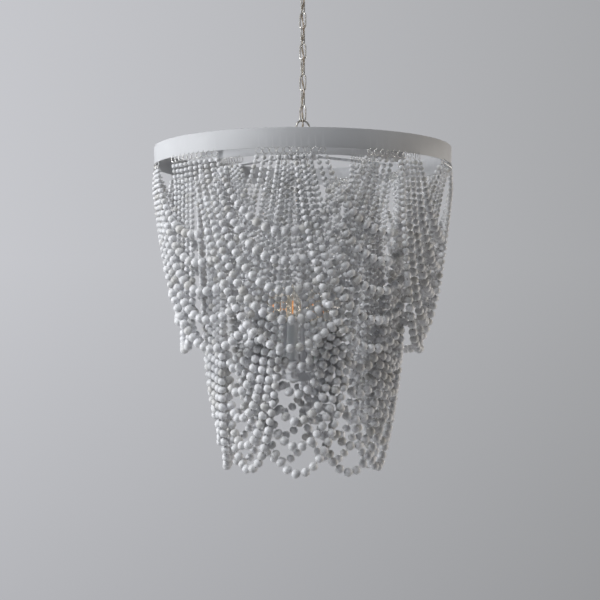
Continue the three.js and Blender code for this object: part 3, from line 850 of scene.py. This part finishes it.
# bead strings: layer is how far one half of a swag lies over the swag that it crosses,
# drift and slip how far beads sit off their even places, shorter how much less a string may hang
strings = {
    "seed": 11, "firstBead": 17.6, "threadAhead": 6, "hookGap": 0.3, "gap": 0.75, "sizesPerMm": 4,
    "layer": 6.3, "layerRun": 60, "middleRun": 17, "middleShift": 14, "taperPower": 6, "spreadRun": 380,
    "drift": 0.016, "slip": 0.5, "shorter": 0.011, "sizeSpread": 0.12, "sizeRange": (0.985, 1.015),
    "points": 1201, "facets": 4, "shortness": 0.92, "threadRadius": 0.5}
settle = {"steps": 70, "reach": 21, "neighbours": 3, "touching": 0.985, "leastGap": 0.01, "push": 0.35,
          "pulls": 2, "pull": 0.4, "kept": 0.97, "own": 0.4, "shared": 0.3}


def smoothStep(share):
    share = np.clip(share, 0, 1)
    return share * share * (3 - 2 * share)


def swagCurve(tier, row):
    # points of one swag centred under the front, the length along it, and the bead radius there
    hookRing = tier["ringRadius"] - bands["thickness"] / 2
    fromMiddle = clusters["rows"] - row - 0.5
    hook = math.radians(360 / clusters["count"] - fromMiddle * tier["fanPitchDeg"])
    gathered = math.radians(fromMiddle * (tier["fanPitchDeg"] - tier["hookPitchDeg"]))
    halfSpan, inset = hookRing * math.sin(hook), hookRing * math.cos(hook)
    drop = tier["firstDrop"] + row * tier["dropStep"] - strings["hookGap"]
    deepest = tier["firstDrop"] + (clusters["rows"] - 1) * tier["dropStep"]
    low, high = 0.01, 12
    for _ in range(60):
        middle = (low + high) / 2
        if (math.cosh(middle) - 1) / middle < drop / halfSpan:
            low = middle
        else:
            high = middle
    size = halfSpan / low
    along = np.linspace(-1, 1, strings["points"]) * size * math.sinh(halfSpan / size)
    s = size * np.arcsinh(along / size)
    z = size * (np.cosh(s / size) - 1) - drop - strings["hookGap"]
    natural = np.hypot(s, inset)
    curtain = hookRing + z * tier["lean"] - z * z * tier["curl"]
    turn = np.arctan2(s, inset) + np.sign(s) * gathered * (1 - smoothStep(-z / strings["spreadRun"]))
    z = z - tier["sway"] * tier["overSide"] * s * (1 - (s / halfSpan) ** 2)
    over = smoothStep((tier["overSide"] * s + strings["middleShift"]) / strings["middleRun"] / 2 + 0.5)
    layer = strings["layer"] * smoothStep(-z / strings["layerRun"])
    lifted = np.maximum(natural, curtain) + layer
    tucked = natural - layer * np.clip((z + drop) / strings["layerRun"], 0, 1)
    reach = (tucked + (lifted - tucked) * over) * (1 - tier["taper"] * np.clip(-z / deepest, 0,
                                                                               1) ** strings["taperPower"])
    points = np.stack([reach * np.sin(turn), -reach * np.cos(turn), z + heights["ringBottom"]], axis=1)
    share = 1 - np.abs(along) / abs(along[0])
    growth = [smoothStep((share - start) / (end - start)) for start,
              end in (tier["overGrowth"], tier["underGrowth"])]
    grown = growth[1] + (growth[0] - growth[1]) * over
    radii = tier["endRadius"] + (tier["lowRadius"] - tier["endRadius"]) * grown
    steps = np.linalg.norm(np.diff(points, axis=0), axis=1)
    return points, np.concatenate([[0], np.cumsum(steps)]), radii


def beadPlaces(length, radii, start):
    # lengths along a string from hook to hook, and the bead sizes there
    places, sizes = [start], []
    last = length[-1] - start
    while True:
        sizes.append(round(np.interp(places[-1], length,
                                     radii) * strings["sizesPerMm"]) / strings["sizesPerMm"])
        following = round(np.interp(places[-1] + 2 * sizes[-1], length,
                                    radii) * strings["sizesPerMm"]) / strings["sizesPerMm"]
        step = sizes[-1] + following + strings["gap"]
        if places[-1] + step > last + step / 2:
            break
        places.append(places[-1] + step)
    stretch = (last - places[0]) / (places[-1] - places[0])
    return places[0] + (np.array(places) - places[0]) * stretch, np.array(sizes)


def layStrings():
    ahead = strings["firstBead"] - strings["threadAhead"]
    chance = np.random.default_rng(strings["seed"])
    rows = []
    for tier in (upperTier, lowerTier):
        for row in range(clusters["rows"]):
            points, length, radii = swagCurve(tier, row)
            for cluster in range(clusters["count"]):
                spread = chance.uniform(-1, 1) * strings["sizeSpread"]
                small = 1 + spread * (tier["lowRadius"] - radii) / tier["lowRadius"]
                lengths, sizes = beadPlaces(length, radii * small,
                                            strings["firstBead"] + row % 2 * tier["stagger"])
                turn = math.radians(clusters["turnDeg"] + 360 / clusters["count"] * cluster)
                drift = chance.uniform(-1, 1) * strings["drift"] * length[-1]
                slip = chance.uniform(-strings["slip"], strings["slip"])
                shifted = lengths + slip + drift * np.sin(math.pi * lengths / length[-1])
                places = np.stack([np.interp(shifted, length, points[:, axis]) for axis in range(3)], axis=1)
                places[:, 2] += (heights["ringBottom"] - places[:, 2]) * chance.uniform(0, strings["shorter"])
                ends = np.stack([np.interp([ahead, length[-1] - ahead], length, points[:, axis])
                                 for axis in range(3)], axis=1)
                spin = np.array([[math.cos(turn), math.sin(turn), 0], [-math.sin(turn), math.cos(turn), 0],
                                 [0, 0, 1]])
                rows.append({"tier": tier["name"], "row": row, "places": places @ spin, "ends": ends @ spin,
                             "radii": sizes * chance.uniform(*strings["sizeRange"], len(sizes)),
                             "tones": chance.random(len(sizes))})
    return rows


def settleStrings(laid):
    # pushes beads of crossing strings apart and keeps each string's own spacing
    home = np.concatenate([string["places"] for string in laid])
    radii = np.concatenate([string["radii"] for string in laid])
    owner = np.concatenate([np.full(len(string["radii"]), i) for i, string in enumerate(laid)])
    place = home.copy()
    nextOne = np.nonzero(owner[:-1] == owner[1:])[0]
    spacing = np.linalg.norm(home[nextOne + 1] - home[nextOne], axis=1)
    firm = np.ones(len(home), bool)
    firm[nextOne] = False
    held = np.concatenate([[True], owner[1:] != owner[:-1]]) | firm
    inside = np.nonzero(~held)[0]
    tree = KDTree(len(home))
    for i, point in enumerate(home):
        tree.insert(point, i)
    tree.balance()
    pairs = []
    for i, point in enumerate(home):
        for _, j, _ in tree.find_range(point, settle["reach"]):
            if j > i and not (owner[i] == owner[j] and abs(i - j) < settle["neighbours"]):
                pairs.append((i, j))
    pairs = np.array(pairs)
    a, b = pairs[:, 0], pairs[:, 1]
    room = (radii[a] + radii[b]) * settle["touching"]
    for _ in range(settle["steps"]):
        apart = place[b] - place[a]
        gap = np.linalg.norm(apart, axis=1)
        push = np.maximum(room - gap, 0) / np.maximum(gap, settle["leastGap"]) * settle["push"]
        move = apart * push[:, None]
        np.add.at(place, b, move)
        np.add.at(place, a, -move)
        for _ in range(settle["pulls"]):
            line = place[nextOne + 1] - place[nextOne]
            size = np.linalg.norm(line, axis=1)
            fix = line * ((size - spacing) / size * settle["pull"])[:, None]
            np.add.at(place, nextOne, fix)
            np.add.at(place, nextOne + 1, -fix)
        # a bead's shift is shared with its neighbours on the string, so that the string stays a smooth line
        shift = (place - home) * settle["kept"]
        mean = shift.copy()
        beside = shift[inside - 1] + shift[inside + 1]
        mean[inside] = shift[inside] * settle["own"] + beside * settle["shared"]
        place = home + mean
        place[held] = home[held]
    apart = np.linalg.norm(place[b] - place[a], axis=1)
    print("beads:", len(home), "pairs:", len(pairs), "deepest overlap left:",
          round(float((room - apart).max()), 2), "mm",
          "largest move:", round(float(np.linalg.norm(place - home, axis=1).max()), 1), "mm")
    start = 0
    for string in laid:
        count = len(string["radii"])
        string["places"] = place[start:start + count]
        start += count


def makeRow(tierName, row, laid):
    points, edges, radii, alongs, tones = [], [], [], [], []
    for string in laid:
        if string["tier"] != tierName or string["row"] != row:
            continue
        path = np.concatenate([string["ends"][:1], string["places"], string["ends"][1:]])
        along = np.gradient(path, axis=0)
        along /= np.linalg.norm(along, axis=1)[:, None]
        start = len(points)
        points += list(path)
        edges += [(start + i, start + i + 1) for i in range(len(path) - 1)]
        radii += [0] + list(string["radii"] * mm) + [0]
        alongs += list(along)
        tones += [0] + list(string["tones"]) + [0]
    piece = newPiece(f"{tierName}_bead_row_{row + 1}", points, [], edges)
    attributes = piece.data.attributes
    attributes.new("beadRadius", "FLOAT", "POINT").data.foreach_set("value", radii)
    attributes.new("beadTone", "FLOAT", "POINT").data.foreach_set("value", tones)
    attributes.new("beadAlong", "FLOAT_VECTOR", "POINT").data.foreach_set("vector", np.array(alongs).ravel())
    runTree(piece, beadTree, Facets=strings["facets"], Shortness=strings["shortness"],
            ThreadRadius=strings["threadRadius"] * mm, BeadMaterial=limewash, ThreadMaterial=threadFibre)
    place(piece, "lamp", "beads", f"{tierName}_swags_{row + 1}")


def makeStrings():
    laid = layStrings()
    settleStrings(laid)
    for tierName in ("upper", "lower"):
        for row in range(clusters["rows"]):
            makeRow(tierName, row, laid)


makeStrings()
print("bead strings made")

# dish, cover and finial
dish = {"radius": 36, "bevel": 3, "wall": 2, "bore": 5.3}
finial = {"cover": 33, "coverThickness": 1.6, "neck": 3.4, "neckLength": 3, "ball": 8}


def makeDish():
    radius, wall, bevel, ballRadius = dish["radius"], dish["wall"], dish["bevel"], finial["ball"]
    top, bottom = heights["dishTop"], heights["dishBottom"]
    inner = radius - wall
    profile = [(dish["bore"], top - wall), (dish["bore"], top), (radius - bevel, top, 2),
               (radius, top - bevel, 2), (radius, bottom + 1.5), (radius - 0.4, bottom),
               (inner, bottom), (inner, top - bevel), (inner - wall, top - wall)]
    shell = dress(lathe("dish_shell", softened(profile, 0.6, closed=True), 72, closed=True), paint)
    place(shell, "lamp", "paint", "bottom_dish")
    coverBottom = bottom - finial["coverThickness"]
    ballZ = coverBottom - finial["neckLength"] - ballRadius
    neck = math.asin(finial["neck"] / ballRadius)
    ball = [(ballRadius * math.sin(a), ballZ + ballRadius * math.cos(a))
            for a in (neck + (math.pi - neck) * i / 14 for i in range(14))]
    profile = [(0, bottom + 8, 0), (3.2, bottom + 8, 0), (3.2, bottom, 0), (finial["cover"], bottom, 0.6),
               (finial["cover"], coverBottom, 0.6), (finial["neck"] + 1.4, coverBottom, 0.5),
               (finial["neck"] + 1.4, coverBottom - 1, 0.4),
               (finial["neck"], coverBottom - 1.4, 0.2)]
    body = softened(profile, 0, 3) + ball[1:] + [(0, ballZ - ballRadius)]
    place(dress(lathe("finial_ball", body, 48), paint), "lamp", "paint", "bottom_finial")


# candle lights
arm = {"radius": 4, "start": 36.2, "bend": 12, "cupNeck": 7.5, "cupBottom": -821.5, "plate": 13,
       "plateThickness": 2.5}
sleeve = {"radius": 12, "wall": 1.4, "bottom": -800.7, "top": -722.7}
socket = {"radius": 9.6, "bore": 6.6, "floor": -745.7}
bulbShape = {"base": 6, "radius": 17.5, "height": 75, "wall": 0.7, "baseLength": 18.7, "threads": 5,
             "threadPitch": 2.54, "outline": [
    (0.43, 0), (0.56, 0.05), (0.76, 0.14), (0.9, 0.22), (0.98, 0.3), (1, 0.4), (0.97, 0.49), (0.86, 0.61),
    (0.69, 0.72),
    (0.5, 0.81), (0.34, 0.88), (0.2, 0.94), (0.09, 0.985)]}


def makeCandles():
    for number in range(candles["count"]):
        deg = candles["turnDeg"] + 60 * number
        middle = polar(candles["circle"], deg, 0)
        name = number + 1
        level, bend = heights["arm"], arm["bend"]
        path = [polar(arm["start"], deg, level)]
        for k in range(9):
            t = k / 8
            start, corner, end = (polar(candles["circle"] - bend, deg, level),
                                  polar(candles["circle"], deg, level),
                                  polar(candles["circle"], deg, level + bend))
            path.append(start * (1 - t) ** 2 + corner * (2 * t * (1 - t)) + end * t ** 2)
        path.append(polar(candles["circle"], deg, arm["cupBottom"] + 2))
        pipe = tube("pipe", path, arm["radius"], paint, 16)
        collar = tube("collar", [polar(arm["start"] + d, deg, level) for d in (0, 1, 2)], 6, paint, 24)
        top = heights["cupTop"]
        plateZ = top - arm["plateThickness"]
        profile = [(0, arm["cupBottom"], 0), (arm["cupNeck"] - 1.5, arm["cupBottom"]),
                   (arm["cupNeck"], arm["cupBottom"] + 3),
                   (arm["cupNeck"], plateZ - 3, 3), (arm["plate"] - 1, plateZ - 0.2, 1),
                   (arm["plate"], plateZ + 1), (arm["plate"], top),
                   (socket["radius"], top, 0), (0, top, 0)]
        cup = dress(lathe("cup", softened(profile, 0.7), 40, centre=middle[:2]), paint)
        profile = [(0, top - 1), (socket["radius"], top - 1), (socket["radius"], heights["socketTop"]),
                   (socket["bore"], heights["socketTop"]), (socket["bore"], socket["floor"]),
                   (0, socket["floor"])]
        holder = dress(lathe("holder", profile, 24, centre=middle[:2]), sleevePlastic)
        place(merged(f"candle_arm_{name}_pipe", [pipe, collar, cup, holder]), "lamp", "paint",
              f"candle_arm_{name}")
        profile = [(sleeve["radius"] - sleeve["wall"], sleeve["bottom"]),
                   (sleeve["radius"], sleeve["bottom"]),
                   (sleeve["radius"], sleeve["top"]), (sleeve["radius"] - sleeve["wall"], sleeve["top"])]
        skin = dress(lathe("skin", softened(profile, 0.5, closed=True), 40, centre=middle[:2], closed=True),
                     sleevePlastic)
        skin.name = f"candle_sleeve_{name}_skin"
        place(skin, "lamp", "sleeve", f"candle_sleeve_{name}")
        makeBulb(name, middle)


filament = {"radius": 0.55, "apart": 2.6, "turnDeg": 37, "heights": (16, 24, 33, 42), "lead": 0.25}


def makeBulb(name, middle):
    top, size = sleeve["top"], bulbShape
    bottom = heights["socketTop"] - size["baseLength"]
    threads = [(0, bottom), (3, bottom), (size["base"] - 1.2, bottom + 1.5)]
    for turnNumber in range(size["threads"]):
        z = bottom + 3 + size["threadPitch"] * turnNumber
        threads += [(size["base"] - 0.7, z - 0.9), (size["base"], z)]
    threads += [(size["base"] - 0.5, top - 2.4), (size["base"] + 0.6, top - 0.6),
                (size["base"] + 0.9, top + 0.8), (0, top + 0.8)]
    base = dress(lathe("bulbBase", threads, 24, centre=middle[:2]), brass)
    outer = [(size["radius"] * across, top + size["height"] * up) for across, up in size["outline"]]
    inner = [(max(radius - size["wall"], 0.3), z + (0 if i == 0 else -0.3)) for i,
             (radius, z) in enumerate(outer)]
    profile = outer + [(0, top + size["height"]), (0, top + size["height"] - 1)] + inner[::-1]
    shell = dress(lathe("bulbShell", profile, 32, centre=middle[:2], closed=True), glass)
    sticks = []
    post = tube("post", [middle + Vector((0, 0, top + h)) for h in (0.8, 8, 14)], 1.6, glass, 10)
    for side in (-1, 1):
        shift = polar(filament["apart"] * side, candles["turnDeg"] + filament["turnDeg"], 0)
        ends = [middle + shift + Vector((0, 0, top + h)) for h in filament["heights"]]
        sticks.append(tube("filament", ends, filament["radius"], filamentGlow, 8))
        sticks.append(tube("lead", [middle + Vector((0, 0, top + 12)), ends[0]], filament["lead"], zinc, 6))
    crown = [middle + polar(filament["apart"] * side, candles["turnDeg"] + filament["turnDeg"],
                            0) + Vector((0, 0, top + filament["heights"][-1])) for side in (-1, 1)]
    sticks.append(tube("lead", [crown[0], (crown[0] + crown[1]) / 2 + Vector((0, 0, 1.2)), crown[1]],
                       filament["lead"], zinc, 6))
    place(merged(f"candle_bulb_{name}_glass", [shell, base, post] + sticks), f"bulb_{name}", "bulb_glass",
          f"candle_bulb_{name}")


makeDish()
makeCandles()
print("dish and candle lights made")

# light and surroundings
studio = {
    "skyLeft": colour(204, 205, 210), "skyRight": colour(159, 160, 162), "skyLow": 0.6,
    "fill": (0.92, 0.99, 1.03, 1),
    "fillStrength": 0.04, "floorZ": -2.5, "floorRadius": 5.5, "floorSides": 96, "floorGlow": 0.4,
    "aim": (0, 0, -0.7),
}
lamps = {
    "keySoftbox": {"place": (-2.6, -0.2, -0.5), "size": 1, "power": 52, "tint": (0.97, 0.985, 1)},
    "topSoftbox": {"place": (-1.5, -2, 1.5), "size": 0.9, "power": 56, "tint": (0.98, 0.99, 1)},
    "warmFill": {"place": (3.2, 0.6, -0.7), "size": 1.2, "power": 48, "tint": (1, 0.93, 0.84)},
    "backFill": {"place": (0.7, 3.3, 1.8), "size": 1.3, "power": 55, "tint": (0.99, 0.99, 1)},
}


def cameraOrMirrorRay(tree):
    path = shaderNode(tree, "LightPath")
    first = shaderNode(tree, "Math", {"operation": "MAXIMUM"})
    tree.links.new(path.outputs["Is Camera Ray"], first.inputs[0])
    tree.links.new(path.outputs["Is Glossy Ray"], first.inputs[1])
    second = shaderNode(tree, "Math", {"operation": "MAXIMUM"})
    tree.links.new(first.outputs[0], second.inputs[0])
    tree.links.new(path.outputs["Is Transmission Ray"], second.inputs[1])
    return second.outputs[0]


def makeWorld():
    world = bpy.data.worlds.new("studio")
    scene.world = world
    world.use_nodes = True
    tree = world.node_tree
    tree.nodes.clear()
    coords = shaderNode(tree, "TexCoord")
    apart = shaderNode(tree, "SeparateXYZ", Vector=(coords, "Generated"))
    # brighter to the left and upwards, as a backdrop lit from the left
    share = shaderNode(tree, "MapRange", Value=(apart, "X"))
    down = shaderNode(tree, "MapRange", Value=(apart, "Z"))
    setSpan(share, -0.3, 0.3, 0, 1)
    setSpan(down, -0.45, 0.06, studio["skyLow"], 1)
    ramp = shaderNode(tree, "ValToRGB")
    tree.links.new(share.outputs["Result"], ramp.inputs[0])
    setRamp(ramp, (0, studio["skyLeft"]), (1, studio["skyRight"]))
    seen = shaderNode(tree, "Background", Color=(ramp, "Color"), Strength=(down, "Result"))
    fill = shaderNode(tree, "Background", Color=studio["fill"], Strength=studio["fillStrength"])
    mix = shaderNode(tree, "MixShader")
    tree.links.new(cameraOrMirrorRay(tree), mix.inputs[0])
    tree.links.new(fill.outputs[0], mix.inputs[1])
    tree.links.new(seen.outputs[0], mix.inputs[2])
    output = shaderNode(tree, "OutputWorld")
    tree.links.new(mix.outputs[0], output.inputs["Surface"])


def makeLamp(name, look):
    data = bpy.data.lights.new(name, "AREA")
    data.shape = "DISK"
    data.size = look["size"]
    data.energy = look["power"]
    data.color = look["tint"]
    lamp = bpy.data.objects.new(name, data)
    lamp.location = look["place"]
    aim = Vector(studio["aim"]) - Vector(look["place"])
    lamp.rotation_euler = aim.to_track_quat("-Z", "Y").to_euler()
    scene.collection.objects.link(lamp)


def makeFloor():
    radius, sides = studio["floorRadius"] / mm, studio["floorSides"]
    points = [(radius * math.cos(a), radius * math.sin(a), studio["floorZ"] / mm)
              for a in (2 * math.pi * i / sides for i in range(sides))]
    floor = newPiece("floor", points, [tuple(range(sides))], smooth=False)
    material = newFinish("paleFloor", {"light": colour(214, 214, 216), "dark": colour(206, 207, 209),
                                       "scale": 0.6, "rough": (0.8, 0.9)})
    tree = material.node_tree
    # pale to the eye, and still shadowed by the light
    glow = shaderNode(tree, "Emission", Color=colour(214, 214, 216))
    strength = shaderNode(tree, "Math", {"operation": "MULTIPLY"})
    tree.links.new(cameraOrMirrorRay(tree), strength.inputs[0])
    strength.inputs[1].default_value = studio["floorGlow"]
    tree.links.new(strength.outputs[0], glow.inputs["Strength"])
    lit = shaderNode(tree, "AddShader")
    tree.links.new(tree.nodes["Principled BSDF"].outputs[0], lit.inputs[0])
    tree.links.new(glow.outputs[0], lit.inputs[1])
    side = shaderNode(tree, "NewGeometry")
    clear = shaderNode(tree, "BsdfTransparent")
    mix = shaderNode(tree, "MixShader")
    tree.links.new(side.outputs["Backfacing"], mix.inputs[0])
    tree.links.new(lit.outputs[0], mix.inputs[1])
    tree.links.new(clear.outputs[0], mix.inputs[2])
    tree.links.new(mix.outputs[0], tree.nodes["Material Output"].inputs["Surface"])
    dress(floor, material)


makeWorld()
for name, look in lamps.items():
    makeLamp(name, look)
makeFloor()
print("studio made")

triangles = sum(len(p.vertices) - 2 for o in scene.objects if o.type == "MESH" and not o.hide_render
                for p in o.data.polygons)
print("triangles:", triangles)
